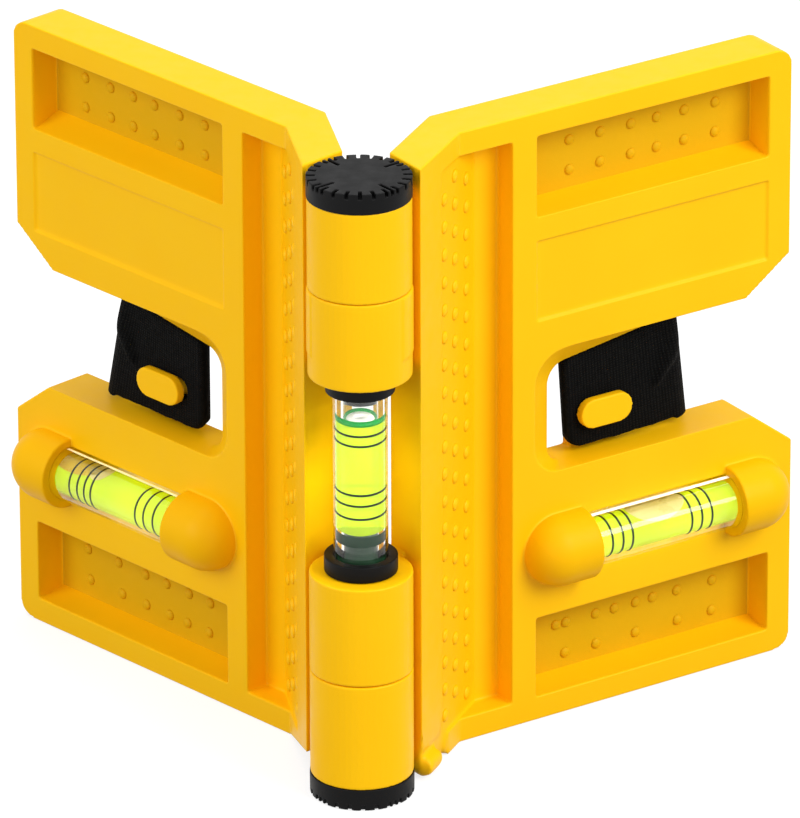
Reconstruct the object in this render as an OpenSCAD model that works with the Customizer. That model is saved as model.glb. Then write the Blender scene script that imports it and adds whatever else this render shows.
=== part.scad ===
// Folding post level: two C-shaped wings on an upright hinge column, with a spirit vial in each
// wing and a third, upright vial between the two halves of the column. An elastic strap hooks
// on a peg in each wing and closes the loop round the back of a post.
// Millimetres, +Z up. The hinge axis is the Z axis and the base of the column is at Z = 0.
// A wing is drawn in its own frame: X runs out from the hinge axis, Y runs from front to back.

/* [Wings] */
// Height of the wings and of the hinge column with its caps
wing_h = 128; // [110:0.5:150]
// Distance from the hinge axis to the outer edge of a wing's upper arm
wing_reach = 105; // [100:0.5:130]
// How much further out the lower arm reaches than the upper one
lower_arm_extra = 0.9; // [0:0.1:3]
// Thickness of the wing plate from front to back
wing_t = 10.5; // [9.5:0.1:14]
// Distance of the plate's front face behind the hinge axis
front_set = 6.5; // [5:0.1:9]
// Angle between the two back faces as drawn
open_angle = 100; // [85:1:130]
// Distance from the hinge axis at which the plate bends towards the column
bend_reach = 27.2; // [24:0.1:31]
// Angle of the bent stretch to the plate
bend_angle = 34; // [28:1:40]
// Gap between the column and the wing's hinge edge
hinge_edge_gap = 0.8; // [0.5:0.1:1.5]
// Radius of the two outer corners
corner_r = 3.5; // [1:0.5:6]
// Height by which the left wing's foot is cut back at the hinge edge
foot_cut = 5.4; // [2:0.2:8]
// Height of the rounded foot under the right wing's plain band
foot_d = 4.4; // [3:0.1:5]
// Width of that foot
foot_l = 6.6; // [5:0.1:8]
// Height of that foot above the base
foot_lift = 0.3; // [0.1:0.1:0.6]

/* [Windows and channel] */
// Width of the border round the windows, at the top, the bottom and the channel ends
border = 4.9; // [3.5:0.1:7]
// Width of the border along the outer edge
outer_border = 5.4; // [3.5:0.1:8]
// Width of the stile between the channel and the windows
stile = 5.8; // [4:0.1:8]
// Height of each window
window_h = 16.7; // [12:0.1:19]
// Depth of each window
window_depth = 6.6; // [3:0.1:8]
// Depth of the blank panel under the upper window
panel_depth = 0.5; // [0.3:0.1:1.5]
// Height of the rail between the upper window and the blank panel
rail = 5; // [3:0.1:7]
// Distance from the hinge axis to the outer wall of the channel
channel_reach = 39.4; // [37:0.1:43]
// Depth of the channel below the front face
channel_depth = 5.2; // [3:0.1:7]
// Depth of the dotted strip below the bent face
strip_depth = 0.6; // [0.3:0.1:1.2]
// Width of the plain band along the hinge edge
band_w = 9; // [8:0.1:11]
// Height of the right wing's plain band above the base
band_low = 5.8; // [5.2:0.1:8]
// Depth of the step under that band
band_step = 1; // [0.6:0.1:2]

/* [Strap cut-out] */
// Height of the cut-out's lower edge
cut_low = 52; // [50:0.5:56]
// Height of the cut-out itself
cut_h = 25.6; // [24:0.1:30]
// Width of solid wing between the channel and the cut-out
cut_margin = 5.2; // [3:0.1:8]
// Radius of the cut-out's upper inner corner
cut_r_up = 7; // [5:0.5:12]
// Radius of the cut-out's lower inner corner
cut_r_low = 6; // [3:0.5:8]
// Reach of the slope on the cut-out's inner end
slope_reach = 6; // [3:0.2:8]
// Depth of that slope from the front face
slope_depth = 4.4; // [2:0.2:6]
// Radius of the upper inner corner behind the slope
slope_r_up = 4.5; // [3:0.5:8]
// Drop of the cut-out's upper edge behind the slope, at its inner end
slope_drop = 5.3; // [3:0.1:7]
// Length over which that drop fades out
slope_run = 38; // [30:1:50]
// Width of the chamfer under the end of the upper arm
flare_up_w = 10.5; // [6:0.5:12]
// Height of the chamfer under the end of the upper arm
flare_up_h = 7.5; // [4:0.5:9]
// Width of the chamfer over the end of the lower arm
flare_low_w = 9.3; // [6:0.1:12]
// Height of the chamfer over the end of the lower arm
flare_low_h = 7.1; // [4:0.1:9]

/* [Strap pegs] */
// Distance from the strap's left cut end to the middle of its peg
left_peg_lead = 10.5; // [8:0.5:15]
// Distance from the strap's right cut end to the middle of its peg
right_peg_lead = 9.5; // [8:0.5:15]
// Height of the pegs above the cut-out's lower edge
peg_rise = 8.4; // [7:0.1:11]
// Length of a peg's oval head
peg_l = 12; // [8:0.2:13]
// Height of a peg's oval head
peg_h = 6; // [4.5:0.1:7]
// Thickness of a peg's head
peg_head_t = 1.9; // [1.2:0.1:2.4]
// Width by which the head overhangs its neck
peg_lip = 1.2; // [0.6:0.1:1.6]
// Thickness of the tongue that carries a peg
tongue_t = 2.4; // [1.6:0.1:3]

/* [Hinge column] */
// Diameter of the hinge knuckles
barrel_d = 20; // [18:0.2:22]
// Length of the two knuckles above the upright vial
upper_barrel_h = 36.4; // [32:0.2:40]
// Length of the top knuckle alone
top_knuckle_h = 18.4; // [14:0.2:22]
// Length of the two knuckles below the upright vial
lower_barrel_h = 42.2; // [38:0.2:44]
// Length of the bottom knuckle alone
bottom_knuckle_h = 21.8; // [18:0.2:24]
// Diameter of the hollow hinge pins
pin_d = 12; // [11:0.1:12.8]
// Diameter of the bore through the hinge pins
pin_bore_d = 8.1; // [6:0.1:9]
// Running clearance between pin and knuckle, on the radius
pin_clearance = 0.05; // [0.02:0.01:0.1]
// Gap between two knuckles, and between a knuckle and a collar
knuckle_gap = 0.2; // [0.1:0.05:0.5]
// Height of the raised saddle round the knuckle under the upper seam
saddle_h = 12.6; // [8:0.2:16]
// Distance from the seam down to the saddle
saddle_drop = 0.4; // [0.2:0.1:1]
// Thickness of that saddle
saddle_t = 0.2; // [0.1:0.05:0.4]
// Half of the angle that the saddle leaves bare at the front
saddle_half_angle = 61; // [45:1:75]

/* [Caps and collars] */
// Diameter of the top and bottom caps
cap_d = 20.2; // [19:0.1:23]
// Height of the caps
cap_h = 4.2; // [3:0.1:6]
// Number of notches in a cap's rim
cap_notches = 24; // [16:4:36]
// Length of a rim notch
notch_l = 1.8; // [1:0.1:3]
// Width of a rim notch
notch_w = 0.7; // [0.4:0.1:1]
// Depth of a rim notch
notch_depth = 1.1; // [0.5:0.1:1.8]
// Length of the four longer slots in a cap
slot_l = 4; // [2.5:0.1:5]
// Length of a cap's spigot
spigot_l = 10; // [6:0.5:14]
// Press clearance of spigots and vials in their seats, on the radius
seat_clearance = 0.05; // [0.02:0.01:0.1]
// Height of the collars at the ends of the upright vial
collar_h = 3.2; // [2.6:0.1:4.5]
// Diameter of the upper collar
upper_collar_d = 13.4; // [13:0.1:15]
// Diameter of the lower collar
lower_collar_d = 14.2; // [13:0.1:16]
// Depth to which the upright vial sits in each collar
collar_grip = 2.4; // [1.6:0.1:2.5]

/* [Upright vial] */
// Outer diameter of the upright vial
post_tube_d = 10.5; // [9.5:0.1:11.4]
// Bore of the upright vial
post_bore_d = 6.6; // [5:0.1:7.5]
// Length of the lower end plug
post_plug_low = 7.6; // [4:0.1:9]
// Length of the upper end plug
post_plug_up = 4.4; // [3:0.1:6]
// Length of the air space over the liquid
post_air = 3.6; // [2:0.1:6]

/* [Wing vials] */
// Height of the wing vials' axis
vial_z = 35.8; // [34:0.1:37]
// Distance by which that axis stands in front of the plate
vial_stand = 0.6; // [0:0.1:2]
// Outer diameter of a wing vial
tube_d = 10.8; // [9.5:0.1:12]
// Bore of a wing vial
tube_bore_d = 6.6; // [5:0.1:7.5]
// Diameter of the domed end caps
dome_d = 14.4; // [13.4:0.1:15]
// Distance from the lower arm's outer edge to the centre of the outer dome
dome_margin = 9.6; // [8:0.1:11]
// Length of the inner end cap from the dome's centre to the vial
inner_cap_l = 6.3; // [5:0.1:9]
// Visible length of a wing vial
vial_window = 34.2; // [30:0.2:36]
// Length of the outer end cap from the dome's centre to the vial
outer_cap_l = 6.3; // [5:0.1:8]
// Depth to which a wing vial sits in its end caps
vial_grip = 3; // [2:0.1:3.6]
// Length of the plugs in the ends of a wing vial
vial_plug_l = 2.6; // [1.5:0.1:4]
// Length of the air bubble
bubble_l = 12.4; // [8:0.2:16]
// Depth of the air bubble
bubble_depth = 2.3; // [1.5:0.1:3]
// Offset of the left vial's bubble from the middle, outwards
left_bubble_shift = 12; // [-4:0.5:13]
// Offset of the right vial's bubble from the middle, outwards
right_bubble_shift = -0.5; // [-8:0.5:8]

/* [Strap] */
// Width of the elastic strap
strap_w = 23; // [20:0.5:24]
// Thickness of the strap
strap_t = 1.6; // [1:0.1:2]
// Thickness of the doubled strap end
strap_end_t = 2.8; // [2:0.1:3.2]
// Gap between the strap and the cut-out's lower edge
strap_rise = 0.8; // [0.5:0.1:2]
// Distance from the hinge axis to the strap's cut end
strap_end_reach = 54.2; // [53:0.1:56]
// How much further out the left end lies than the right one
left_end_shift = 3; // [0:0.5:5]
// Gap between the strap's upper edge and the cut-out's upper edge
strap_top_gap = 0.4; // [0.3:0.1:1]
// Length of the doubled end
strap_end_l = 20; // [18:0.5:22]
// Radius of the lower corner of the strap's cut end
strap_corner_r = 4; // [2:0.5:6]
// Distance from the hinge axis to the start of the strap's fold
strap_fold_reach = 80.4; // [78:0.2:84]
// Radius of the strap's fold, at its middle
strap_fold_r = 4; // [3:0.2:6]
// Clearance of the strap's slot round the neck of the peg
strap_slot_gap = 0.4; // [0.3:0.1:0.8]

/* [Hidden] */
$fn = 72;
yellow = "#ffc412";
black = "#1b1b1c";
clear = "#e8f2ea";
lime = "#d8f53a";
over = 1;
sliver = 0.01;
hull_fn = 32;
fillet_steps = 10;

// Plan of a wing
wing_yaw = (180 - open_angle) / 2;
barrel_r = barrel_d / 2;
hinge_edge = barrel_r + hinge_edge_gap;
back_set = front_set + wing_t;
lower_reach = wing_reach + lower_arm_extra;
bend_slope = tan(bend_angle);
edge_front = bent_front(hinge_edge);
edge_back = edge_front + wing_t;
web_front = 1;
foot_in = 0.8;
foot_set = 0.6 * band_step;
web_root = 0.4 * barrel_r;

// Windows, panel and channel
window_in = channel_reach + stile;
window_out = wing_reach - outer_border;
lower_window_out = lower_reach - outer_border;
upper_window_z = wing_h - border - window_h;
panel_z = upper_window_z - rail - window_h;
channel_floor = front_set + channel_depth;
strip_drop = strip_depth / cos(bend_angle);
strip_in = hinge_edge + band_w;
strip_start = bent_front(strip_in);
strip_out = bend_reach + (channel_depth - strip_drop) / bend_slope;

// Cut-out
cut_in = channel_reach + cut_margin;
cut_top = cut_low + cut_h;
slope_in = cut_in + slope_reach;
slope_r_low = cut_r_low / 2;

// Heights along the column
upper_barrel_top = wing_h - cap_h;
upper_barrel_low = upper_barrel_top - upper_barrel_h;
upper_seam = upper_barrel_top - top_knuckle_h;
lower_barrel_top = cap_h + lower_barrel_h;
lower_seam = cap_h + bottom_knuckle_h;
upper_collar_top = upper_barrel_low - knuckle_gap;
upper_collar_low = upper_collar_top - collar_h;
lower_collar_low = lower_barrel_top + knuckle_gap;
lower_collar_top = lower_collar_low + collar_h;
post_tube_low = lower_collar_top - collar_grip;
post_tube_top = upper_collar_low + collar_grip;
post_liquid_low = post_tube_low + post_plug_low;
post_liquid_top = post_tube_top - post_plug_up - post_air;
spigot_d = pin_bore_d - 2 * seat_clearance;

// Wing vials, along the wing
vial_y = front_set - vial_stand;
outer_dome_reach = lower_reach - dome_margin;
outer_cap_face = outer_dome_reach - outer_cap_l;
inner_cap_face = outer_cap_face - vial_window;
inner_dome_reach = inner_cap_face - inner_cap_l;
tube_in = inner_cap_face - vial_grip;
tube_out = outer_cap_face + vial_grip;
vial_middle = inner_cap_face + vial_window / 2;
bubble_r = (bubble_l * bubble_l / 4 + bubble_depth * bubble_depth) / (2 * bubble_depth);

// Strap and pegs, in the wing's frame; the doubled end lies in front of the tongue
strap_low = cut_low + strap_rise;
tongue_face = back_set - tongue_t;
strap_air = 0.3;
strap_back = tongue_face - strap_air;
strap_front = strap_back - strap_end_t;
strap_y = strap_front + strap_t / 2;
strap_end_top = cut_top - slope_drop - strap_top_gap;
peg_head_back = strap_front - strap_air;
left_end_reach = strap_end_reach + left_end_shift;
left_peg_reach = left_end_reach + left_peg_lead;
right_peg_reach = strap_end_reach + right_peg_lead;
peg_z = cut_low + peg_rise;
neck_l = peg_l - 2 * peg_lip;
neck_h = peg_h - 2 * peg_lip;
tongue_side = 0.6;

// The fold turns the strap to the heading at which the loop's arc about the Y axis starts
loop_start = 10;
fold_angle = 90 + loop_start - wing_yaw;
fold_end = [
    strap_fold_reach + strap_fold_r * sin(fold_angle),
    strap_y + strap_fold_r * (1 - cos(fold_angle))
];
loop_end = [
    fold_end[0] * cos(wing_yaw) - fold_end[1] * sin(wing_yaw),
    fold_end[0] * sin(wing_yaw) + fold_end[1] * cos(wing_yaw)
];
loop_r = loop_end[0] / cos(loop_start);
loop_y = loop_end[1] - loop_r * sin(loop_start);

// Length of the strap along its middle, both ends included
strap_length = 2 * (strap_fold_reach - strap_end_reach) - left_end_shift
    + 2 * strap_fold_r * fold_angle * PI / 180
    + loop_r * (180 - 2 * loop_start) * PI / 180;
echo(strap_length = strap_length, back_of_loop = loop_y + loop_r);

// Points of the fillet between an edge that rises away from a corner and the upright edge below the corner
function rising_fillet(corner, r, rise) =
    let(lean = atan(rise), centre = corner + [r, r * rise - r / cos(lean)])
    [
        for (i = [0 : fillet_steps])
            let(turn = 90 + lean + (90 - lean) * i / fillet_steps)
                centre + r * [cos(turn), sin(turn)]
    ];

// Place of the bent stretch's front face at a distance from the hinge axis
function bent_front(reach) = front_set - (bend_reach - reach) * bend_slope;

// Places a wing's own frame on the right or on the left of the column
module on_right() {
    rotate([0, 0, wing_yaw]) children();
}

module on_left() {
    mirror([1, 0, 0]) on_right() children();
}

// Raises an outline drawn in X and Z from front to back
module slab(front, back) {
    translate([0, back, 0]) rotate([90, 0, 0]) linear_extrude(back - front) children();
}

// A box with one corner at low and the opposite one at high
module block(low, high) {
    translate(low) cube(high - low);
}

// A rod along X
module rod(d, start, end) {
    translate([start, 0, 0]) rotate([0, 90, 0]) cylinder(d = d, h = end - start);
}

// A rod along Z
module post(d, low, high) {
    translate([0, 0, low]) cylinder(d = d, h = high - low);
}

// What is left in a square corner outside a fillet
module fillet_corner(r) {
    difference() {
        translate([-over, -over]) square(r + over);
        translate([r, r]) circle(r);
    }
}

// A bar with two round ends
module oval(l, h) {
    square([l - h, h], center = true);
    for (side = [-1, 1]) translate([side * (l - h) / 2, 0]) circle(d = h);
}

// Plan of a wing: the flat plate and the stretch bent towards the column
module wing_plan() {
    polygon([
        [hinge_edge, edge_front], [bend_reach, front_set], [lower_reach, front_set],
        [lower_reach, back_set], [bend_reach, back_set], [hinge_edge, edge_back]
    ]);
}

// Front view of a wing, with its two outer corners rounded
module wing_outline() {
    difference() {
        polygon([
            [0, 0], [lower_reach, 0], [lower_reach, cut_low + over], [wing_reach, cut_low + over],
            [wing_reach, wing_h], [0, wing_h]
        ]);
        translate([lower_reach, 0]) mirror([1, 0]) fillet_corner(corner_r);
        translate([wing_reach, wing_h]) rotate(180) fillet_corner(corner_r);
    }
}

// The channel and the dotted strip that slopes up from it to the plain band
module channel() {
    translate([0, 0, border]) linear_extrude(wing_h - 2 * border) polygon([
        [strip_in, strip_start + strip_drop], [strip_out, channel_floor],
        [channel_reach, channel_floor], [channel_reach, front_set - over],
        [bend_reach, front_set - over], [strip_in, strip_start - over]
    ]);
}

// One recess in the front face
module window(low, out, depth) {
    block([window_in, front_set - over, low], [out, front_set + depth, low + window_h]);
}

module windows() {
    window(border, lower_window_out, window_depth);
    window(upper_window_z, window_out, window_depth);
    window(panel_z, window_out, panel_depth);
}

// The strap's cut-out, open at the outer edge, with an upper edge that may drop towards the inner end
module cut_opening(inner, r_up, r_low, drop) {
    outer = lower_reach + over;
    difference() {
        polygon([
            [inner, cut_low], [outer, cut_low], [outer, cut_top], [inner + slope_run, cut_top],
            each rising_fillet([inner, cut_top - drop], r_up, drop / slope_run)
        ]);
        translate([inner, cut_low]) fillet_corner(r_low);
    }
}

module arm_flares() {
    polygon([
        [wing_reach - flare_up_w, cut_top], [wing_reach, cut_top + flare_up_h],
        [lower_reach + over, cut_top + flare_up_h], [lower_reach + over, cut_low - flare_low_h],
        [lower_reach, cut_low - flare_low_h], [lower_reach - flare_low_w, cut_low]
    ]);
}

// Room for the strap's cut end, wherever the strap is set to end
module strap_room(end_reach) {
    block(
        [end_reach - strap_air, strap_front - strap_air, strap_low - strap_air],
        [end_reach + strap_corner_r, back_set + over, strap_end_top + strap_air]
    );
}

module cut_out(end_reach) {
    strap_room(end_reach);
    slab(front_set - over, back_set + over) arm_flares();
    slab(front_set + slope_depth, back_set + over)
        cut_opening(slope_in, slope_r_up, slope_r_low, slope_drop);
    hull() {
        slab(front_set - sliver, front_set)
            cut_opening(cut_in, cut_r_up, cut_r_low, 0, $fn = hull_fn);
        slab(front_set + slope_depth, front_set + slope_depth + sliver)
            cut_opening(slope_in, slope_r_up, slope_r_low, slope_drop, $fn = hull_fn);
    }
}

// A rod along X with one domed end, cut square at its other end, the face
module domed_rod(d, dome_reach, face) {
    way = sign(face - dome_reach);
    difference() {
        union() {
            translate([dome_reach, 0, 0]) sphere(d = d);
            rod(d, min(dome_reach, face), max(dome_reach, face));
        }
        translate([face + way * d / 2, 0, 0]) cube([d, d + over, d + over], center = true);
    }
}

// The seat of a wing vial and its two end caps
module vial_seat() {
    gap = 2 * seat_clearance;
    translate([0, vial_y, vial_z]) {
        rod(tube_d + gap, inner_cap_face - sliver, outer_cap_face + sliver);
        domed_rod(dome_d + gap, inner_dome_reach, inner_cap_face);
        domed_rod(dome_d + gap, outer_dome_reach, outer_cap_face);
    }
}

// The peg with its oval head and the tongue behind it, which stands on the lower arm
module strap_peg(reach) {
    translate([reach, 0, 0]) {
        block(
            [-neck_l / 2 - tongue_side, tongue_face, cut_low - over],
            [neck_l / 2 + tongue_side, back_set, peg_z + peg_h / 2]
        );
        translate([0, 0, peg_z]) {
            slab(peg_head_back, tongue_face + sliver) oval(neck_l, neck_h);
            slab(peg_head_back - peg_head_t, peg_head_back) oval(peg_l, peg_h);
        }
    }
}

module wing_panel(end_reach, peg_reach) {
    difference() {
        intersection() {
            linear_extrude(wing_h) wing_plan();
            slab(edge_front - over, back_set + over) wing_outline();
        }
        channel();
        windows();
        cut_out(end_reach);
        vial_seat();
    }
    strap_peg(peg_reach);
}

// One knuckle with the web that joins it to the wing's hinge edge
module knuckle(low, high) {
    post(barrel_d, low, high);
    block([web_root, web_front, low], [hinge_edge + over, edge_back, high]);
}

module pin_bore() {
    post(pin_d + 2 * pin_clearance, 0, wing_h);
}

// The raised saddle round the sides and back of the knuckle under the upper seam
module saddle() {
    span = barrel_d;
    side = span * tan(90 - saddle_half_angle);
    high = upper_seam - knuckle_gap / 2 - saddle_drop;
    intersection() {
        post(barrel_d + 2 * saddle_t, high - saddle_h, high);
        linear_extrude(wing_h) polygon([
            [0, 0], [span, -side], [span, span], [-span, span], [-span, -side]
        ]);
    }
}

// The sloping cut under the left wing's bent stretch
module foot_relief() {
    slab(edge_front - over, back_set + over) polygon([
        [hinge_edge - over, -over], [bend_reach, -over], [bend_reach, 0],
        [hinge_edge, foot_cut], [hinge_edge - over, foot_cut]
    ]);
}

// The step under the right wing's plain band
module band_relief() {
    inside = hinge_edge - over;
    outside = strip_in + over;
    translate([0, 0, -over]) linear_extrude(band_low + over) polygon([
        [inside, bent_front(inside) - over], [outside, bent_front(outside) - over],
        [outside, bent_front(outside) + band_step], [inside, bent_front(inside) + band_step]
    ]);
}

// The rounded foot under that step
module foot() {
    translate([hinge_edge, edge_front + foot_set, foot_d / 2 + foot_lift])
        rotate([0, 0, bend_angle]) rod(foot_d, foot_in, foot_in + foot_l);
}

module left_wing() {
    color(yellow) difference() {
        on_left() {
            difference() {
                wing_panel(left_end_reach, left_peg_reach);
                foot_relief();
            }
            knuckle(upper_seam + knuckle_gap / 2, upper_barrel_top);
            knuckle(cap_h, lower_seam - knuckle_gap / 2);
        }
        pin_bore();
    }
}

module right_wing() {
    color(yellow) difference() {
        union() {
            on_right() {
                difference() {
                    wing_panel(strap_end_reach, right_peg_reach);
                    band_relief();
                }
                foot();
                knuckle(upper_barrel_low, upper_seam - knuckle_gap / 2);
                knuckle(lower_seam + knuckle_gap / 2, lower_barrel_top);
            }
            saddle();
        }
        pin_bore();
    }
}

// One notch of a cap, from its rim inwards
module rim_notch(l) {
    block(
        [cap_d / 2 - l, -notch_w / 2, cap_h - notch_depth],
        [cap_d / 2 + over, notch_w / 2, cap_h + over]
    );
}

// A cap with notches in its rim, four longer slots and a spigot, drawn with its face upwards
module column_cap() {
    difference() {
        cylinder(d = cap_d, h = cap_h);
        for (i = [0 : cap_notches - 1]) rotate([0, 0, (i + 0.5) * 360 / cap_notches]) rim_notch(notch_l);
        for (i = [0 : 3]) rotate([0, 0, 45 + 90 * i]) rim_notch(slot_l);
    }
    translate([0, 0, -spigot_l]) cylinder(d = spigot_d, h = spigot_l + sliver);
}

module top_cap() {
    color(black) translate([0, 0, upper_barrel_top]) column_cap();
}

module bottom_cap() {
    color(black) translate([0, 0, cap_h]) rotate([180, 0, 0]) column_cap();
}

module hinge_pin(low, high) {
    difference() {
        post(pin_d, low, high);
        post(pin_bore_d, low - over, high + over);
    }
}

module upper_hinge_pin() {
    color(black) hinge_pin(upper_collar_top, upper_barrel_top);
}

module lower_hinge_pin() {
    color(black) hinge_pin(cap_h, lower_collar_low);
}

// A collar with a spigot for the hinge pin and a cup for the vial, drawn with the cup upwards
module vial_collar(d) {
    difference() {
        union() {
            cylinder(d = d, h = collar_h);
            translate([0, 0, -spigot_l]) cylinder(d = spigot_d, h = spigot_l + sliver);
        }
        translate([0, 0, collar_h - collar_grip])
            cylinder(d = post_tube_d + 2 * seat_clearance, h = collar_grip + over);
    }
}

module lower_collar() {
    color(black) translate([0, 0, lower_collar_low]) vial_collar(lower_collar_d);
}

module upper_collar() {
    color(black) translate([0, 0, upper_collar_top]) rotate([180, 0, 0]) vial_collar(upper_collar_d);
}

module post_vial_tube() {
    color(clear, 0.4) difference() {
        post(post_tube_d, post_tube_low, post_tube_top);
        post(post_bore_d, post_tube_low - over, post_tube_top + over);
    }
}

module post_vial_liquid() {
    color(lime) post(post_bore_d - 2 * seat_clearance, post_liquid_low, post_liquid_top);
}

module post_vial_lower_plug() {
    color(black) post(post_bore_d - 2 * seat_clearance, post_tube_low, post_liquid_low);
}

module post_vial_upper_plug() {
    color(clear) post(post_bore_d - 2 * seat_clearance, post_tube_top - post_plug_up, post_tube_top);
}

// The parts of a wing vial, drawn about its axis
module on_vial_axis() {
    translate([0, vial_y, vial_z]) children();
}

module vial_tube() {
    on_vial_axis() difference() {
        rod(tube_d, tube_in, tube_out);
        rod(tube_bore_d, tube_in - over, tube_out + over);
    }
}

module vial_liquid(bubble_shift) {
    bubble_z = tube_bore_d / 2 + bubble_r - bubble_depth;
    on_vial_axis() difference() {
        rod(tube_bore_d - 2 * seat_clearance, tube_in + vial_plug_l, tube_out - vial_plug_l);
        translate([vial_middle + bubble_shift, 0, bubble_z]) sphere(r = bubble_r);
    }
}

module vial_plugs() {
    d = tube_bore_d - 2 * seat_clearance;
    on_vial_axis() {
        rod(d, tube_in, tube_in + vial_plug_l);
        rod(d, tube_out - vial_plug_l, tube_out);
    }
}

// An end cap with a domed end, bored for the vial
module vial_cap(dome_reach, face, seat) {
    mouth = face + sign(face - dome_reach) * over;
    on_vial_axis() difference() {
        domed_rod(dome_d, dome_reach, face);
        rod(tube_d + 2 * seat_clearance, min(seat, mouth), max(seat, mouth));
    }
}

module inner_cap() {
    vial_cap(inner_dome_reach, inner_cap_face, tube_in);
}

module outer_cap() {
    vial_cap(outer_dome_reach, outer_cap_face, tube_out);
}

module left_vial_tube() {
    color(clear, 0.4) on_left() vial_tube();
}

module right_vial_tube() {
    color(clear, 0.4) on_right() vial_tube();
}

module left_vial_liquid() {
    color(lime) on_left() vial_liquid(left_bubble_shift);
}

module right_vial_liquid() {
    color(lime) on_right() vial_liquid(right_bubble_shift);
}

module left_vial_plugs() {
    color(clear) on_left() vial_plugs();
}

module right_vial_plugs() {
    color(clear) on_right() vial_plugs();
}

module left_vial_inner_cap() {
    color(yellow) on_left() inner_cap();
}

module right_vial_inner_cap() {
    color(yellow) on_right() inner_cap();
}

module left_vial_outer_cap() {
    color(yellow) on_left() outer_cap();
}

module right_vial_outer_cap() {
    color(yellow) on_right() outer_cap();
}

// Front view of a length of the strap, whose upper edge keeps clear of the cut-out's
module strap_view(start, end) {
    difference() {
        translate([start, strap_low]) square([end - start, strap_w]);
        translate([slope_in, strap_end_top]) polygon([
            [-slope_in, 0], [0, 0], [slope_run, slope_drop], [slope_run, strap_w], [-slope_in, strap_w]
        ]);
    }
}

// The part of the strap that a peg holds: a doubled end with a slot, and the start of the fold
module strap_end(end_reach, peg_reach) {
    doubled_out = end_reach + strap_end_l;
    difference() {
        union() {
            slab(strap_front, strap_back) difference() {
                strap_view(end_reach, doubled_out);
                translate([end_reach, strap_low]) fillet_corner(strap_corner_r);
            }
            slab(strap_front, strap_front + strap_t)
                strap_view(doubled_out - sliver, strap_fold_reach + sliver);
            translate([strap_fold_reach, strap_y + strap_fold_r, strap_low])
                rotate([0, 0, -90])
                    rotate_extrude(angle = fold_angle)
                        translate([strap_fold_r - strap_t / 2, 0]) square([strap_t, strap_w]);
        }
        translate([peg_reach, 0, peg_z])
            slab(strap_front - over, strap_back + over)
                oval(neck_l + 2 * strap_slot_gap, neck_h + 2 * strap_slot_gap);
    }
}

module left_strap_end() {
    color(black) on_left() strap_end(left_end_reach, left_peg_reach);
}

module right_strap_end() {
    color(black) on_right() strap_end(strap_end_reach, right_peg_reach);
}

// The slack loop of the strap behind the wings
module strap_loop() {
    color(black) translate([0, loop_y, strap_low])
        rotate([0, 0, loop_start])
            rotate_extrude(angle = 180 - 2 * loop_start)
                translate([loop_r - strap_t / 2, 0]) square([strap_t, strap_w]);
}

left_wing();
right_wing();
top_cap();
bottom_cap();
upper_hinge_pin();
lower_hinge_pin();
upper_collar();
lower_collar();
post_vial_tube();
post_vial_liquid();
post_vial_upper_plug();
post_vial_lower_plug();
left_vial_tube();
left_vial_liquid();
left_vial_plugs();
left_vial_inner_cap();
left_vial_outer_cap();
right_vial_tube();
right_vial_liquid();
right_vial_plugs();
right_vial_inner_cap();
right_vial_outer_cap();
left_strap_end();
right_strap_end();
strap_loop();
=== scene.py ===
"""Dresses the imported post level: softened mouldings, grip dots, marked vials and the elastic strap.

Named lengths are in millimetres. A wing has its own frame, as in the part's source: reach runs out
from the hinge axis, back runs from the wing's front to its back, and z runs up.
"""

import math

import bmesh
import bpy
from mathutils import Matrix, Vector


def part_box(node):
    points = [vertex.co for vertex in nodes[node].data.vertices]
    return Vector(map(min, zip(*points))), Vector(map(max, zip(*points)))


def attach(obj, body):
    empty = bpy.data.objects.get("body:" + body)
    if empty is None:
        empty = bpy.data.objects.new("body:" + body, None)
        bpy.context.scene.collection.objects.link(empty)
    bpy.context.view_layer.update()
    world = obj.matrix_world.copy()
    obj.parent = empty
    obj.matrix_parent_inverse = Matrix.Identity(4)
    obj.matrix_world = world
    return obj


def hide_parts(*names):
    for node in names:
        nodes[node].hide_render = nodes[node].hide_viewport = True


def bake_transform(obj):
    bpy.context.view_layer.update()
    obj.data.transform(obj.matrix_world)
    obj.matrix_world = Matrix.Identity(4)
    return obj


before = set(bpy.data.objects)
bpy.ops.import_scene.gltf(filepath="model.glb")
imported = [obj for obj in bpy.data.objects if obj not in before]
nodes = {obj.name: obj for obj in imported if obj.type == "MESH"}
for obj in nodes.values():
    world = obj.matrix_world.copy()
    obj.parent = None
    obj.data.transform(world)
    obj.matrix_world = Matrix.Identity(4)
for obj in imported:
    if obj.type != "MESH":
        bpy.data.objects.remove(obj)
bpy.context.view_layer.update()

MM = 0.001
LEFT, RIGHT = -1, 1
SIDE_NAME = {LEFT: "left", RIGHT: "right"}
BODY = {LEFT: "left_wing", RIGHT: "right_wing"}
YAW = math.radians(40)
UP = Vector((0, 0, 1))
SHARP_EDGE = math.radians(40)

# Plan of a wing
FRONT = 6.5
BEND_REACH = 27.2
BEND = math.radians(34)
STRIP_IN = 19.8
STRIP_DEPTH = 0.6
WINDOW_FLOOR = 13.1
WINDOW_REACH = (45.2, 100.5)
WINDOW_HEIGHTS = ((4.9, 21.6), (106.4, 123.1))

# Forms added to the mouldings
WINDOW_FACING = -0.7
WINDOW_TOLERANCE = 0.5
SILL_RISE = {LEFT: (1.0, 2.2), RIGHT: (1.1, 1.4)}
SILL_CURVE = 1.5
SILL_STEPS = 8
SILL_BITE = 0.3
FOOT_REACH = (9.0, 22.0)
FOOT_BACK = 5.0
FOOT_HEIGHT = 9.0
FOOT_ROUNDS = 60
DOME_PROUD = 0.1
# A black ring inside the bottom cap, which stands in for the shade seen through its notches.
SHADE_RING_INSET = 0.2
SHADE_RING_EDGE = 0.3
SHADE_RING_BORE = 7.0
SHADE_RING_HEIGHTS = (0.05, 3.0)

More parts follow.
